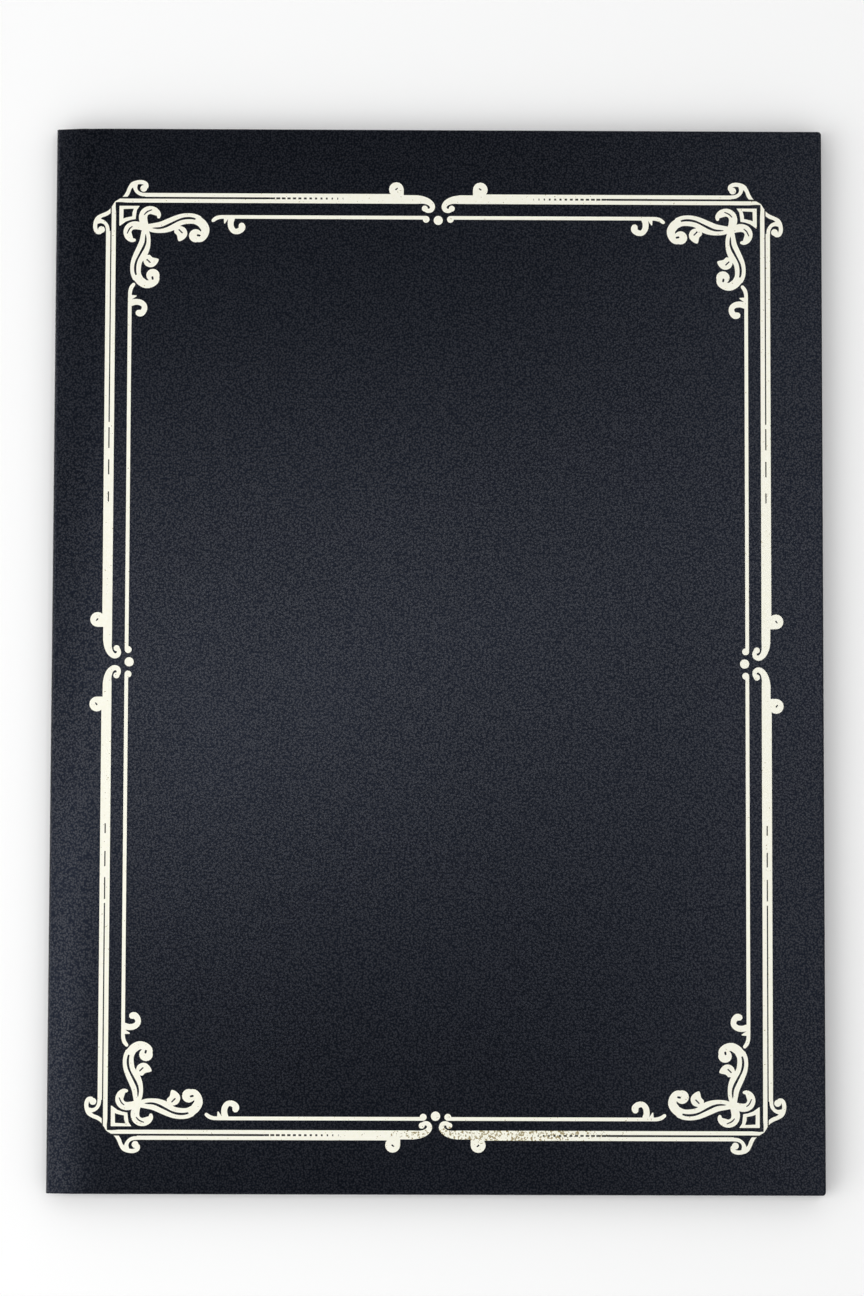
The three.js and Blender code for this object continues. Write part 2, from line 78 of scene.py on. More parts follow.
def new_material(name):
    """An empty material and its node tree."""
    made = bpy.data.materials.new(name)
    made.use_nodes = True
    made.node_tree.nodes.clear()
    return made, made.node_tree


def dress(node, material):
    """Gives a solid of the frame its finish."""
    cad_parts[node].data.materials.clear()
    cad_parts[node].data.materials.append(material)


# Greyboard is matt, and shows pale and dark flecks of fibre about 1.2 mm long.
FLECK = 1.2
greyboard, tree = new_material("pressed_greyboard")
place = add_node(tree, "ShaderNodeTexCoord", {}).outputs["Object"]
flecks = add_node(tree, "ShaderNodeTexNoise", {
    "Vector": place, "Scale": 1 / (FLECK * MM), "Detail": 4.0})
# A mix node takes its colours in sockets 6 and 7, and gives the new one from socket 2.
tone = add_node(tree, "ShaderNodeMix", {
    0: flecks.outputs[0], 6: linear("#6f6a61"), 7: linear("#a19b8f")}, data_type="RGBA")
press = add_node(tree, "ShaderNodeBump", {
    "Height": flecks.outputs[0], "Strength": 0.4, "Distance": 0.08 * MM})
board = add_node(tree, "ShaderNodeBsdfPrincipled", {
    "Base Color": tone.outputs[2], "Roughness": 0.92, "Normal": press.outputs[0]})
add_node(tree, "ShaderNodeOutputMaterial", {"Surface": board.outputs[0]})
for side in ("back", "front"):
    dress(side + "_board", greyboard)


# Cover leatherette: embossed vinyl on cloth, one skin for each cover and its half of the soft
# spine. It is glued round the board, with 15 mm turned in at the head, tail and fore edge, mitred
# at the corners, and past the board it slopes in and folds round the spine as a single thickness.
cover_low, cover_high = (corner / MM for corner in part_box("back_cover_leatherette"))
CLOSED_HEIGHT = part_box("front_cover_leatherette")[1].z / MM
SPINE_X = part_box("spine_leatherette")[0].x / MM
FOLD_HEIGHT = 2.1
SKIN = 0.5
TURN_IN = 15
FORE_CORNER_RADIUS = 1
EDGE_RADIUS = 0.5
SLOPE_SETBACK = 0.1
SLOPE_RADIUS = 60
FOLD_RADIUS = 1.5
MITRE_GROOVE = 0.2
THINNING = (0.85, 0.6, 0.5)
THINNING_STEP = 0.012
FOIL_SEAT = 0.08
CLOSE = 0.001
slope_start = cover_low.x - SLOPE_SETBACK
slope = Vector((SPINE_X - slope_start, 0, FOLD_HEIGHT)).normalized()
slope_angle = radians(90) - slope.angle(Vector((0, 0, 1)))
fold_angle = radians(90) - slope_angle
slope_tangent = SLOPE_RADIUS * tan(slope_angle / 2)
fold_tangent = FOLD_RADIUS * tan(fold_angle / 2)
fold_start = Vector((SPINE_X, 0, FOLD_HEIGHT)) - slope * fold_tangent
fold_centre = Vector((SPINE_X + FOLD_RADIUS, 0, FOLD_HEIGHT + fold_tangent))


def on_plane(verts, axis, at):
    """Whether all these vertices lie at one place along an axis."""
    return all(abs(v.co[axis] - at) < CLOSE for v in verts)


def cut_flat(mesh, height, point, normal):
    """Cuts the faces that lie flat at a height along an upright plane."""
    flat = [f for f in mesh.faces if on_plane(f.verts, 2, height)]
    around = {e for f in flat for e in f.edges} | {v for f in flat for v in f.verts}
    bmesh.ops.bisect_plane(mesh, geom=[*flat, *around], dist=CLOSE / 10,
                           plane_co=point, plane_no=normal)


def grow(mesh, edges, shift):
    """Extrudes edges by a shift, and gives the new far edges."""
    made = bmesh.ops.extrude_edge_only(mesh, edges=edges)["geom"]
    verts = [g for g in made if isinstance(g, bmesh.types.BMVert)]
    bmesh.ops.translate(mesh, vec=shift, verts=verts)
    return [e for e in {e for v in verts for e in v.link_edges} if all(v in verts for v in e.verts)]


def turn(mesh, edges, centre, angle, steps):
    """Sweeps edges round a line along the spine, and gives the new far edges."""
    verts = {v for e in edges for v in e.verts}
    made = bmesh.ops.spin(mesh, geom=[*edges, *verts], cent=centre, axis=(0, 1, 0),
                          angle=angle, steps=steps, use_duplicate=False)["geom_last"]
    return [g for g in made if isinstance(g, bmesh.types.BMEdge)]


def add_piece(name, mesh, material, turned=Matrix.Identity(4)):
    """A smooth object of a mesh that was modelled in millimetres."""
    bmesh.ops.transform(mesh, matrix=Matrix.Scale(MM, 4) @ turned, verts=mesh.verts)
    data = bpy.data.meshes.new(name)
    mesh.to_mesh(data)
    mesh.free()
    data.shade_smooth()
    data.set_sharp_from_angle(angle=radians(40))
    data.materials.append(material)
    piece = bpy.data.objects.new(name, data)
    bpy.context.scene.collection.objects.link(piece)
    return piece


def thicken(piece, thickness, offset, edge):
    """Gives a sheet its thickness, inward (-1) or to both sides (0), and rounds the cut edges."""
    wall = piece.modifiers.new("thickness", "SOLIDIFY")
    wall.thickness = thickness * MM
    wall.offset = offset
    wall.use_even_offset = True
    rim = piece.modifiers.new("cut_edges", "BEVEL")
    rim.width = edge * MM
    rim.segments = 2
    rim.limit_method = "ANGLE"
    rim.angle_limit = radians(60)
    flat = piece.modifiers.new("flat_faces", "WEIGHTED_NORMAL")
    flat.keep_sharp = True


def wrapped_cover(proud):
    """The skin of one cover, lying face down, with its outer face that far below zero."""
    skin = bmesh.new()
    bmesh.ops.create_cube(skin, size=1)
    low = Vector((slope_start + slope_tangent, cover_low.y, -proud))
    bmesh.ops.scale(skin, vec=cover_high - low, verts=skin.verts)
    bmesh.ops.translate(skin, vec=(cover_high + low) / 2, verts=skin.verts)
    corners = [e for e in skin.edges
               if on_plane(e.verts, 0, cover_high.x) and on_plane(e.verts, 1, e.verts[0].co.y)]
    bmesh.ops.bevel(skin, geom=corners, offset=FORE_CORNER_RADIUS, segments=5, profile=0.5,
                    affect="EDGES", material=-1)
    rims = [e for e in skin.edges
            if on_plane(e.verts, 2, e.verts[0].co.z) and not on_plane(e.verts, 0, low.x)]
    bmesh.ops.bevel(skin, geom=rims, offset=EDGE_RADIUS, segments=4, profile=0.5,
                    affect="EDGES", material=-1)
    spine_end = [f for f in skin.faces if on_plane(f.verts, 0, low.x)]
    bmesh.ops.delete(skin, geom=spine_end, context="FACES_ONLY")

    window = cover_high - Vector((TURN_IN, TURN_IN, 0))
    cut_flat(skin, cover_high.z, window, (1, 0, 0))
    for end in (1, -1):
        cut_flat(skin, cover_high.z, window * end, (0, 1, 0))
    bare = [f for f in skin.faces if on_plane(f.verts, 2, cover_high.z)
            and f.calc_center_median().x < window.x and abs(f.calc_center_median().y) < window.y]
    bmesh.ops.delete(skin, geom=bare, context="FACES")
    for end in (1, -1):
        corner = Vector((cover_high.x, cover_high.y * end, cover_high.z))
        across = Vector((1, -end, 0)).normalized()
        for shift in (-MITRE_GROOVE, 0, MITRE_GROOVE):
            cut_flat(skin, cover_high.z, corner + across * shift, across)
        groove = [v for v in skin.verts if abs(v.co.z - cover_high.z) < CLOSE
                  and abs((v.co - corner).dot(across)) < CLOSE]
        bmesh.ops.translate(skin, vec=(0, 0, -MITRE_GROOVE), verts=groove)

    section = [e for e in skin.edges if e.is_boundary and on_plane(e.verts, 0, low.x)]
    centre = (low.x, 0, SLOPE_RADIUS)
    turned_by = asin((low.x - cover_low.x) / SLOPE_RADIUS)
    section = turn(skin, section, centre, turned_by, steps=4)
    for share in THINNING:
        section = turn(skin, section, centre, THINNING_STEP, steps=1)
        turned_by += THINNING_STEP
        verts = list({v for e in section for v in e.verts})
        level = Matrix.Rotation(-turned_by, 4, "Y")
        outer = min(verts, key=lambda v: (level @ v.co).z).co.copy()
        thinner = level.inverted() @ Matrix.Scale(share, 4, (0, 0, 1)) @ level
        around = Matrix.Translation(outer) @ thinner @ Matrix.Translation(-outer)
        bmesh.ops.transform(skin, matrix=around, verts=verts)
    section = turn(skin, section, centre, slope_angle - turned_by, steps=5)
    outer = max(section, key=lambda e: e.calc_length()).verts[0].co
    section = grow(skin, section, Vector((fold_start.x - outer.x, 0, fold_start.z - outer.z)))
    outer_edge = [max(section, key=lambda e: e.calc_length())]
    folded = set(skin.verts)
    outer_edge = turn(skin, outer_edge, fold_centre, fold_angle, steps=10)
    grow(skin, outer_edge, (0, 0, CLOSED_HEIGHT / 2 - fold_centre.z))
    round_fold = [v for v in skin.verts if v not in folded]
    bmesh.ops.scale(skin, vec=(1, cover_high.y / (cover_high.y - EDGE_RADIUS), 1), verts=round_fold)
    bmesh.ops.recalc_face_normals(skin, faces=skin.faces)
    return skin


# Embossed vinyl is near black with a blue cast, and half matt. A lacquer coat stands on the tops of
# its fine pebble grain and has run out of the pores, so the gloss is speckled. The pebbles are
# about 0.4 mm across, drawn at 0.55 mm so that they show. Handling dulls it in clouds 45 mm wide.
GRAIN = 0.55
CLOUD = 45
leatherette, tree = new_material("embossed_vinyl_leatherette")
place = add_node(tree, "ShaderNodeTexCoord", {}).outputs["Object"]
pebbles = add_node(tree, "ShaderNodeTexVoronoi", {
    "Vector": place, "Scale": 1 / (GRAIN * MM), "Smoothness": 0.4}, feature="SMOOTH_F1")
tops = add_node(tree, "ShaderNodeMapRange", {
    "Value": pebbles.outputs["Distance"], "From Min": 0.1, "From Max": 0.65,
    "To Min": 1.0, "To Max": 0.0})
# Painted shade and painted highlight: the colour is darker in the pores and lighter on the pebble
# tops, so the grain shows as speckle.
tone = add_node(tree, "ShaderNodeMix", {
    0: tops.outputs[0], 6: linear("#020304"), 7: linear("#13151c")}, data_type="RGBA")
lacquer = add_node(tree, "ShaderNodeMapRange", {
    "Value": tops.outputs[0], "To Min": 0.0, "To Max": 0.7})
clouds = add_node(tree, "ShaderNodeTexNoise", {
    "Vector": place, "Scale": 1 / (CLOUD * MM), "Detail": 3.0})
shine = add_node(tree, "ShaderNodeMapRange", {
    "Value": clouds.outputs[0], "From Min": 0.3, "From Max": 0.7, "To Min": 0.28, "To Max": 0.32})
grain = add_node(tree, "ShaderNodeBump", {
    "Height": tops.outputs[0], "Strength": 0.5, "Distance": 0.03 * MM})
vinyl = add_node(tree, "ShaderNodeBsdfPrincipled", {
    "Base Color": tone.outputs[2], "Roughness": shine.outputs[0], "Specular IOR Level": 0.2,
    "Specular Tint": linear("#c0d1ff"), "Coat Weight": lacquer.outputs[0], "Coat Roughness": 0.29,
    "Normal": grain.outputs[0]})
add_node(tree, "ShaderNodeOutputMaterial", {"Surface": vinyl.outputs[0]})

# The front cover is the same form turned over, its back to the other.
turned_over = Matrix.Translation((0, 0, CLOSED_HEIGHT)) @ Matrix.Rotation(radians(180), 4, "X")
covers = {"back": Matrix.Identity(4), "front": turned_over}
for side, turned in covers.items():
    skin = add_piece(side + "_leatherette", wrapped_cover(FOIL_SEAT if side == "front" else 0),
                     leatherette, turned)
    thicken(skin, SKIN, offset=-1, edge=0.15)
    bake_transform(skin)
    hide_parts(side + "_cover_leatherette", side + "_joint_leatherette")
    if side == "back":
        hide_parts("spine_leatherette")


# Spine lining: dark book cloth, glued to the inside of the soft spine between the two liners. Its
# long edges lie on the boards, under the liners.
LINING_DEPTH = 0.56
LINING_THICKNESS = 0.26
LINING_OVERLAP = 6
LINING_GLUE = 0.04
PAST_BOARD = 0.2
LINING_DROP = (-2.1, 0, -0.64)
LINING_BEND = 0.6
CLEAR_OF_FOLD = 1
lining_half_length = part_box("spine_lining")[1].y / MM
board_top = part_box("back_board")[1].z / MM

# Book cloth is a plain weave filled with starch, so it is matt. Its threads lie about 0.45 mm
# apart. A wave texture of scale 1 repeats every 0.314 of its units.
THREAD = 0.45
WAVE_PERIOD = 0.314
book_cloth, tree = new_material("starched_book_cloth")
place = add_node(tree, "ShaderNodeTexCoord", {}).outputs["Object"]
warp = add_node(tree, "ShaderNodeTexWave", {
    "Vector": place, "Scale": WAVE_PERIOD / (THREAD * MM), "Distortion": 0.6, "Detail": 1.0},
    bands_direction="Y")
weft = add_node(tree, "ShaderNodeTexWave", {
    "Vector": place, "Scale": WAVE_PERIOD / (THREAD * MM), "Distortion": 0.6, "Detail": 1.0},
    bands_direction="X")
weave = add_node(tree, "ShaderNodeMath", {
    0: warp.outputs["Fac"], 1: weft.outputs["Fac"]}, operation="MULTIPLY")
tone = add_node(tree, "ShaderNodeMix", {
    0: weave.outputs[0], 6: linear("#0f1016"), 7: linear("#1c1e27")}, data_type="RGBA")
threads = add_node(tree, "ShaderNodeBump", {
    "Height": weave.outputs[0], "Strength": 0.5, "Distance": 0.08 * MM})
cloth = add_node(tree, "ShaderNodeBsdfPrincipled", {
    "Base Color": tone.outputs[2], "Roughness": 0.85, "Normal": threads.outputs[0]})
add_node(tree, "ShaderNodeOutputMaterial", {"Surface": cloth.outputs[0]})

inner_radius = FOLD_RADIUS - LINING_DEPTH
inner_start = fold_centre + (fold_start - fold_centre) * inner_radius / FOLD_RADIUS
for side, turned in covers.items():
    strip = bmesh.new()
    start = Vector((cover_low.x + LINING_OVERLAP, lining_half_length, board_top + LINING_GLUE))
    ends = [strip.verts.new((start.x, end * start.y, start.z)) for end in (1, -1)]
    edge = [strip.edges.new(ends)]
    edge = grow(strip, edge, (-LINING_OVERLAP - PAST_BOARD, 0, 0))
    edge = grow(strip, edge, LINING_DROP)
    here = edge[0].verts[0].co
    edge = grow(strip, edge, Vector((inner_start.x - here.x, 0, inner_start.z - here.z)))
    edge = turn(strip, edge, fold_centre, fold_angle, steps=8)
    grow(strip, edge, (0, 0, CLOSED_HEIGHT / 2 - fold_centre.z))
    bends = [e for e in strip.edges
             if not e.is_boundary and e.verts[0].co.x > inner_start.x + CLEAR_OF_FOLD]
    bmesh.ops.bevel(strip, geom=bends, offset=LINING_BEND, segments=3, profile=0.5,
                    affect="EDGES", material=-1)
    bmesh.ops.recalc_face_normals(strip, faces=strip.faces)
    lining = add_piece(side + "_spine_lining", strip, book_cloth, turned)
    thicken(lining, LINING_THICKNESS, offset=-1, edge=0.05)
    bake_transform(lining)
    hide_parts(side + "_joint_lining")
    if side == "back":
        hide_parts("spine_lining")


# Liner cards: thin white card, cut a little smaller than the covers. The moire is stretched over
# them and they are glued to the boards, so little but their edges can be seen.
# Uncoated card is matt, with soft fibre clouds about 3 mm across.
FIBRE = 3
card_stock, tree = new_material("uncoated_card")
place = add_node(tree, "ShaderNodeTexCoord", {}).outputs["Object"]
fibres = add_node(tree, "ShaderNodeTexNoise", {
    "Vector": place, "Scale": 1 / (FIBRE * MM), "Detail": 5.0})
tone = add_node(tree, "ShaderNodeMix", {
    0: fibres.outputs[0], 6: linear("#e0d7c3"), 7: linear("#efe8d8")}, data_type="RGBA")
tooth = add_node(tree, "ShaderNodeBump", {
    "Height": fibres.outputs[0], "Strength": 0.2, "Distance": 0.05 * MM})
card = add_node(tree, "ShaderNodeBsdfPrincipled", {
    "Base Color": tone.outputs[2], "Roughness": 0.88, "Normal": tooth.outputs[0]})
add_node(tree, "ShaderNodeOutputMaterial", {"Surface": card.outputs[0]})
for side in covers:
    dress(side + "_liner_card", card_stock)


# Moire linings: ribbed taffeta, pressed between rollers so that its ribs flatten in wavy bands.
# Each is stretched over its card and drawn down round the four edges.
MOIRE_THICKNESS = 0.16
MOIRE_EDGE = 0.18

# Watered taffeta is ivory, with fine ribs across and bright and dull bands like wood grain along.
# Its ribs are about 0.5 mm apart, and are drawn at 0.9 mm so that they show.
RIB = 0.9
WATER = 38
WATER_BANDS = 60
moire, tree = new_material("watered_taffeta")
place = add_node(tree, "ShaderNodeTexCoord", {}).outputs["Object"]
stretched = add_node(tree, "ShaderNodeMapping", {"Vector": place, "Scale": (1.0, 0.22, 1.0)})
drift = add_node(tree, "ShaderNodeTexNoise", {
    "Vector": stretched.outputs[0], "Scale": 1 / (WATER * MM), "Detail": 2.0, "Roughness": 0.45})
water = add_node(tree, "ShaderNodeMath", {
    0: drift.outputs[0], 1: WATER_BANDS}, operation="MULTIPLY")
wave = add_node(tree, "ShaderNodeMath", {0: water.outputs[0]}, operation="SINE")
level = add_node(tree, "ShaderNodeMapRange", {
    "Value": wave.outputs[0], "From Min": -1.0, "From Max": 1.0}, interpolation_type="SMOOTHSTEP")
ribs = add_node(tree, "ShaderNodeTexWave", {
    "Vector": place, "Scale": WAVE_PERIOD / (RIB * MM), "Distortion": 0.4, "Detail": 1.0},
    bands_direction="Y")
tone = add_node(tree, "ShaderNodeMix", {
    0: level.outputs[0], 6: linear("#d8cdb4"), 7: linear("#e8e0cb")}, data_type="RGBA")
gloss = add_node(tree, "ShaderNodeMapRange", {
    "Value": level.outputs[0], "To Min": 0.62, "To Max": 0.36})
rib_height = add_node(tree, "ShaderNodeBump", {
    "Height": ribs.outputs["Fac"], "Strength": 0.35, "Distance": 0.1 * MM})
taffeta = add_node(tree, "ShaderNodeBsdfPrincipled", {
    "Base Color": tone.outputs[2], "Roughness": gloss.outputs[0], "Sheen Weight": 0.15,
    "Normal": rib_height.outputs[0]})
add_node(tree, "ShaderNodeOutputMaterial", {"Surface": taffeta.outputs[0]})

moire_low, moire_high = (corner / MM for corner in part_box("back_moire_lining"))
for side, turned in covers.items():
    cloth = bmesh.new()
    bmesh.ops.create_cube(cloth, size=1)
    bmesh.ops.scale(cloth, vec=moire_high - moire_low, verts=cloth.verts)
    bmesh.ops.translate(cloth, vec=(moire_high + moire_low) / 2, verts=cloth.verts)
    under = [f for f in cloth.faces if on_plane(f.verts, 2, moire_low.z)]
    bmesh.ops.delete(cloth, geom=under, context="FACES")
    folds = [e for e in cloth.edges if not e.is_boundary]
    bmesh.ops.bevel(cloth, geom=folds, offset=MOIRE_EDGE, segments=3, profile=0.5,
                    affect="EDGES", material=-1)
    bmesh.ops.recalc_face_normals(cloth, faces=cloth.faces)
    lining = add_piece(side + "_moire", cloth, moire, turned)
    thicken(lining, MOIRE_THICKNESS, offset=-1, edge=0.04)
    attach(lining, side + "_cover")
    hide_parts(side + "_moire_lining")


# Corner ribbons: woven satin, 12 mm wide, laid across each corner of the back liner. Their ends
# fold round the liner's edges and are glued under its card, so they hold the certificate's corners.
RIBBON_WIDTH = 12
RIBBON_TAB = 10
RIBBON_THICKNESS = 0.12
RIBBON_GAP = 0.02
RIBBON_FOLD = 0.1
SELVEDGE = 0.6
SELVEDGE_BLUR = 0.1
DIAGONAL = 2 ** 0.5

# Satin shows its long floats as fine lines along the ribbon and a soft gloss. The floats are about
# 0.2 mm apart, drawn at 0.5 mm so that they show, with a tighter selvedge at both edges.
FLOAT = 0.5
satin, tree = new_material("woven_satin_ribbon")
place = add_node(tree, "ShaderNodeUVMap", {}, uv_map="ribbon").outputs[0]
axes = add_node(tree, "ShaderNodeSeparateXYZ", {"Vector": place})
floats = add_node(tree, "ShaderNodeTexWave", {
    "Vector": place, "Scale": WAVE_PERIOD / (FLOAT * MM), "Distortion": 0.8, "Detail": 2.0},
    bands_direction="Y")
middle = add_node(tree, "ShaderNodeMath", {0: axes.outputs["Y"]}, operation="ABSOLUTE")
selvedge = add_node(tree, "ShaderNodeMapRange", {
    "Value": middle.outputs[0], "From Min": (RIBBON_WIDTH / 2 - SELVEDGE) * MM,
    "From Max": (RIBBON_WIDTH / 2 - SELVEDGE + SELVEDGE_BLUR) * MM})
sheen = add_node(tree, "ShaderNodeMix", {
    0: floats.outputs["Fac"], 6: linear("#e3d8bb"), 7: linear("#efe6cd")}, data_type="RGBA")
tone = add_node(tree, "ShaderNodeMix", {
    0: selvedge.outputs[0], 6: sheen.outputs[2], 7: linear("#d3c6a4")}, data_type="RGBA")
lines = add_node(tree, "ShaderNodeBump", {
    "Height": floats.outputs["Fac"], "Strength": 0.3, "Distance": 0.05 * MM})
ribbon = add_node(tree, "ShaderNodeBsdfPrincipled", {
    "Base Color": tone.outputs[2], "Roughness": 0.34, "Sheen Weight": 0.2,
    "Normal": lines.outputs[0]})
add_node(tree, "ShaderNodeOutputMaterial", {"Surface": ribbon.outputs[0]})

for end in ("head", "tail"):
    for side in ("spine", "fore"):
        node = f"ribbon_{end}_{side}"
        low, high = (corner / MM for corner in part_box(node))
        half = Vector((0, 0, RIBBON_THICKNESS / 2))
        inset = Vector((1, 1, 0)) * (RIBBON_THICKNESS / 2 + RIBBON_GAP)
        reach = high.x - low.x - RIBBON_TAB
        band = RIBBON_WIDTH * DIAGONAL
        strip = bmesh.new()
        height = high.z - low.z - RIBBON_THICKNESS
        along = [(reach - band, 0), (reach, 0), (0, reach), (0, reach - band)]
        verts = [strip.verts.new((x, y, height)) for x, y in along]
        strip.faces.new(verts)
        for ends in (verts[:2], verts[2:]):
            fold = grow(strip, [strip.edges.get(ends)], (0, 0, -height))
            grow(strip, fold, (RIBBON_TAB, RIBBON_TAB, 0))
        folds = [e for e in strip.edges if not e.is_boundary]
        bmesh.ops.bevel(strip, geom=folds, offset=RIBBON_FOLD, segments=3, profile=0.5,
                        affect="EDGES", material=-1)
        weave = strip.loops.layers.uv.new("ribbon")
        for face in strip.faces:
            for loop in face.loops:
                x, y = loop.vert.co.x, loop.vert.co.y
                loop[weave].uv = ((x - y) / DIAGONAL * MM,
                                  (x + y - reach + band / 2) / DIAGONAL * MM)
        corner = Vector((high.x if side == "fore" else low.x,
                         high.y if end == "head" else low.y, 0))
        inward = Vector((-1 if side == "fore" else 1, -1 if end == "head" else 1, 1))
        bmesh.ops.translate(strip, vec=inset, verts=strip.verts)
        bmesh.ops.scale(strip, vec=inward, verts=strip.verts)
        bmesh.ops.translate(strip, vec=corner + Vector((0, 0, low.z)) + half, verts=strip.verts)
        bmesh.ops.recalc_face_normals(strip, faces=strip.faces)
        piece = add_piece(node.replace("ribbon", "satin_ribbon"), strip, satin)
        thicken(piece, RIBBON_THICKNESS, offset=0, edge=0.02)
        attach(piece, "back_cover")
        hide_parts(node)


# Clear sheet: thin polyester film, cut square and slipped under the ribbons over the certificate.
# Film is glassy and smooth, with a faint cool cast and the odd scuff about 8 mm long.
SCUFF = 8
film, tree = new_material("clear_polyester_film")
place = add_node(tree, "ShaderNodeTexCoord", {}).outputs["Object"]
scuffs = add_node(tree, "ShaderNodeTexNoise", {
    "Vector": place, "Scale": 1 / (SCUFF * MM), "Detail": 6.0})
haze = add_node(tree, "ShaderNodeMapRange", {
    "Value": scuffs.outputs[0], "From Min": 0.45, "From Max": 0.75, "To Min": 0.06, "To Max": 0.16})
sheet = add_node(tree, "ShaderNodeBsdfPrincipled", {
    "Base Color": linear("#f4f7f8"), "Roughness": haze.outputs[0], "IOR": 1.57, "Alpha": 0.1})
add_node(tree, "ShaderNodeOutputMaterial", {"Surface": sheet.outputs[0]})
dress("clear_sheet", film)


# Foil border: metal foil pressed into the front cover with a heated die, in bars, rules, dots,
# corner flowers and diamonds. The die seats it a little below the grain of the leatherette.
BORDER_CENTRE = Vector((-0.15, -1.8, 0))
BORDER_HALF = {"X": 94.35, "Y": 134.8}
SLIT_LINE = 1.425
SLIT_HALF_WIDTH = {"X": 0.18, "Y": 0.28}
SLIT_PITCH = {"X": 8.5, "Y": 1.58}
SLIT_FADE = {"X": (40, 72), "Y": (27, 50.5)}
WORN_CENTRE = (19, -135.8, 0)
WORN_SPREAD = (0.024, 0.3, 0.0)

# Stamping foil is pale champagne and softly bright. Where the die pressed lightly, the leatherette
# breaks it: in dots 1.6 mm apart that carry on the slits of the head and tail, in dashes about 4 mm
# long at the sides, and in specks about 0.4 mm wide along the middle of the tail.
PRESS = 0.9
FLAKE = 0.6
foil, tree = new_material("champagne_stamping_foil")
place = add_node(tree, "ShaderNodeTexCoord", {}).outputs["Object"]
press = add_node(tree, "ShaderNodeTexNoise", {
    "Vector": place, "Scale": 1 / (PRESS * MM), "Detail": 3.0})
centred = add_node(tree, "ShaderNodeMapping", {
    "Vector": place, "Location": -BORDER_CENTRE, "Scale": (1 / MM, 1 / MM, 1 / MM)})
axes = add_node(tree, "ShaderNodeSeparateXYZ", {"Vector": centred.outputs[0]})
away = {}
for axis in "XY":
    away[axis] = add_node(tree, "ShaderNodeMath", {
        0: axes.outputs[axis]}, operation="ABSOLUTE").outputs[0]
gaps = []
for across, along in ("XY", "YX"):
    line = add_node(tree, "ShaderNodeMath", {
        0: away[across], 1: BORDER_HALF[across] + SLIT_LINE, 2: SLIT_HALF_WIDTH[across]},
        operation="COMPARE")
    start, stop = SLIT_FADE[across]
    # The dots are gone where the fade is under -1, and have run together where it is over 1.
    fade = add_node(tree, "ShaderNodeMapRange", {
        "Value": away[along], "From Min": start, "From Max": stop, "To Min": -1.05, "To Max": 1.05})
    beat = add_node(tree, "ShaderNodeMath", {
        0: away[along], 1: 2 * pi / SLIT_PITCH[across], 2: press.outputs[0]},
        operation="MULTIPLY_ADD")
    dots = add_node(tree, "ShaderNodeMath", {0: beat.outputs[0]}, operation="SINE")
    broken = add_node(tree, "ShaderNodeMath", {
        0: dots.outputs[0], 1: fade.outputs[0]}, operation="LESS_THAN")
    gaps.append(add_node(tree, "ShaderNodeMath", {
        0: line.outputs[0], 1: broken.outputs[0]}, operation="MULTIPLY").outputs[0])
slit = add_node(tree, "ShaderNodeMath", {0: gaps[0], 1: gaps[1]}, operation="MAXIMUM")
flakes = add_node(tree, "ShaderNodeTexNoise", {
    "Vector": place, "Scale": 1 / (FLAKE * MM), "Detail": 2.0})
lightly = add_node(tree, "ShaderNodeVectorMath", {
    0: centred.outputs[0], 1: WORN_CENTRE}, operation="SUBTRACT")
spread = add_node(tree, "ShaderNodeMapping", {"Vector": lightly.outputs[0], "Scale": WORN_SPREAD})
reach = add_node(tree, "ShaderNodeVectorMath", {0: spread.outputs[0]}, operation="LENGTH")
strength = add_node(tree, "ShaderNodeMapRange", {
    "Value": reach.outputs["Value"], "From Min": 0.5, "From Max": 1.0,
    "To Min": 0.45, "To Max": 0.28})
specks = add_node(tree, "ShaderNodeMath", {
    0: flakes.outputs[0], 1: strength.outputs[0]}, operation="LESS_THAN")
bright = add_node(tree, "ShaderNodeMix", {
    0: press.outputs[0], 6: linear("#f4f2dd"), 7: linear("#fbfaf1")}, data_type="RGBA")
worn = add_node(tree, "ShaderNodeMix", {
    0: specks.outputs[0], 6: bright.outputs[2], 7: linear("#a3966e")}, data_type="RGBA")
tone = add_node(tree, "ShaderNodeMix", {
    0: slit.outputs[0], 6: worn.outputs[2], 7: linear("#24231f")}, data_type="RGBA")
dents = add_node(tree, "ShaderNodeBump", {
    "Height": press.outputs[0], "Strength": 0.2, "Distance": 0.05 * MM})
metal = add_node(tree, "ShaderNodeBsdfPrincipled", {
    "Base Color": tone.outputs[2], "Metallic": 0.2, "Roughness": 0.5, "Normal": dents.outputs[0]})
add_node(tree, "ShaderNodeOutputMaterial", {"Surface": metal.outputs[0]})
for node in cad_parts:
    if node.startswith("foil_"):
        dress(node, foil)


# Stage, in metres: a white paper floor, white walls under a dark ceiling, a soft lamp low on the
# left, and two long lamps overhead for the gloss of the leatherette. Away from the holder, what the
# camera sees of the floor clears to plain white, like a backdrop.
FLOOR_HALF = 6
CLEAR_FROM = 0.4
CLEAR_TO = 1.0
paper, tree = new_material("white_floor_paper")
place = add_node(tree, "ShaderNodeTexCoord", {}).outputs["Object"]
far = add_node(tree, "ShaderNodeVectorMath", {0: place}, operation="LENGTH")
cleared = add_node(tree, "ShaderNodeMapRange", {
    "Value": far.outputs["Value"], "From Min": CLEAR_FROM, "From Max": CLEAR_TO},
    interpolation_type="SMOOTHSTEP")
seen = add_node(tree, "ShaderNodeLightPath", {}).outputs["Is Camera Ray"]
backdrop = add_node(tree, "ShaderNodeMath", {0: cleared.outputs[0], 1: seen}, operation="MULTIPLY")
white = add_node(tree, "ShaderNodeBsdfPrincipled", {
    "Base Color": linear("#fdfdfd"), "Roughness": 1.0, "Specular IOR Level": 0.0})
plain_white = add_node(tree, "ShaderNodeEmission", {"Color": linear("#ffffff"), "Strength": 1.0})
surface = add_node(tree, "ShaderNodeMixShader", {
    0: backdrop.outputs[0], 1: white.outputs[0], 2: plain_white.outputs[0]})
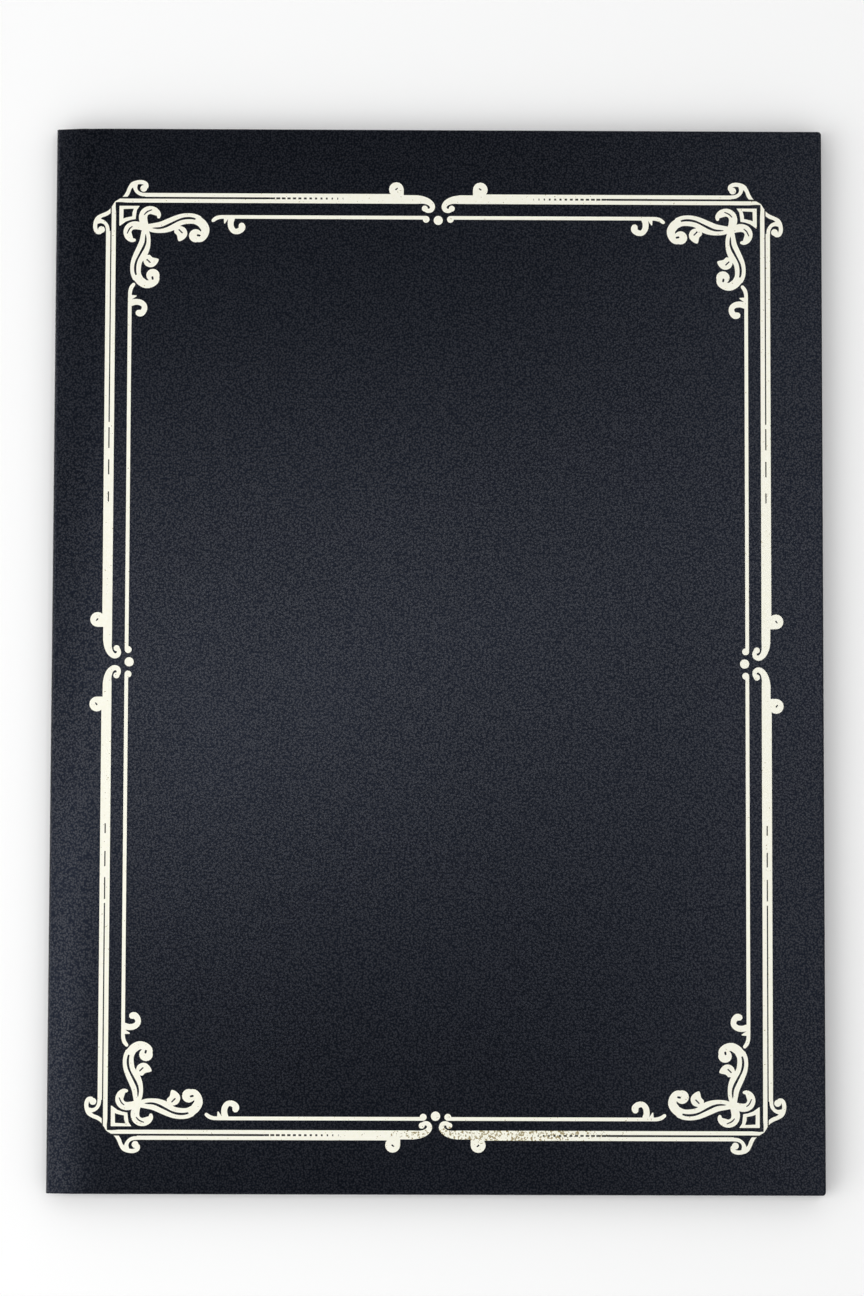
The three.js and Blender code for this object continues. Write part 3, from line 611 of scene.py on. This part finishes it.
add_node(tree, "ShaderNodeOutputMaterial", {"Surface": surface.outputs[0]})
ground = bmesh.new()
bmesh.ops.create_grid(ground, x_segments=1, y_segments=1, size=FLOOR_HALF / MM)
floor = add_piece("floor", ground, paper)

# The walls are lit to about 40 degrees above the floor, and fade into the ceiling by 67.
sky = bpy.data.worlds.new("studio")
bpy.context.scene.world = sky
sky.use_nodes = True
sky.node_tree.nodes.clear()
ray = add_node(sky.node_tree, "ShaderNodeTexCoord", {}).outputs["Generated"]
axes = add_node(sky.node_tree, "ShaderNodeSeparateXYZ", {"Vector": ray})
glow = add_node(sky.node_tree, "ShaderNodeMapRange", {
    "Value": axes.outputs["Z"], "From Min": 0.65, "From Max": 0.92, "To Min": 0.95, "To Max": 0.02},
    interpolation_type="SMOOTHSTEP")
air = add_node(sky.node_tree, "ShaderNodeBackground", {
    "Color": linear("#ffffff"), "Strength": glow.outputs[0]})
add_node(sky.node_tree, "ShaderNodeOutputWorld", {"Surface": air.outputs[0]})


def add_lamp(name, place, aim, size, brightness, twist=0):
    """An oval lamp of an even brightness, turned to face a point and twisted about that line."""
    lamp = bpy.data.lights.new(name, "AREA")
    lamp.shape = "ELLIPSE"
    lamp.size, lamp.size_y = size
    lamp.energy = brightness * pi ** 2 * size[0] * size[1] / 4
    made = bpy.data.objects.new(name, lamp)
    made.location = place
    facing = (Vector(aim) - Vector(place)).to_track_quat("-Z", "Y").to_matrix()
    made.rotation_euler = (facing @ Matrix.Rotation(radians(twist), 3, "Z")).to_euler()
    bpy.context.scene.collection.objects.link(made)


add_lamp("left_lamp", place=(-1.1, -0.4, 0.62), aim=(0, 0, 0), size=(1.2, 1.8), brightness=1.45)
add_lamp("top_lamp", place=(-0.335, 0.012, 1.08), aim=(-0.335, -0.018, 0), size=(1.07, 0.22),
         brightness=3.8, twist=12)
add_lamp("right_lamp", place=(0.285, 0.03, 1), aim=(0.285, 0.03, 0), size=(0.15, 1), brightness=3.1)


# Camera: a long lens, held a little below the middle of the cover and nearly square to it.
lens = bpy.data.cameras.new("camera")
lens.lens = 97.2
lens.sensor_width = 36
camera = bpy.data.objects.new("camera", lens)
camera.location = Vector((-8.52, -68.89, 1020.58)) * MM
camera.rotation_euler = (radians(4.029), radians(-0.405), radians(0.182))
bpy.context.scene.collection.objects.link(camera)
bpy.context.scene.camera = camera
bpy.context.scene.view_settings.view_transform = "Standard"
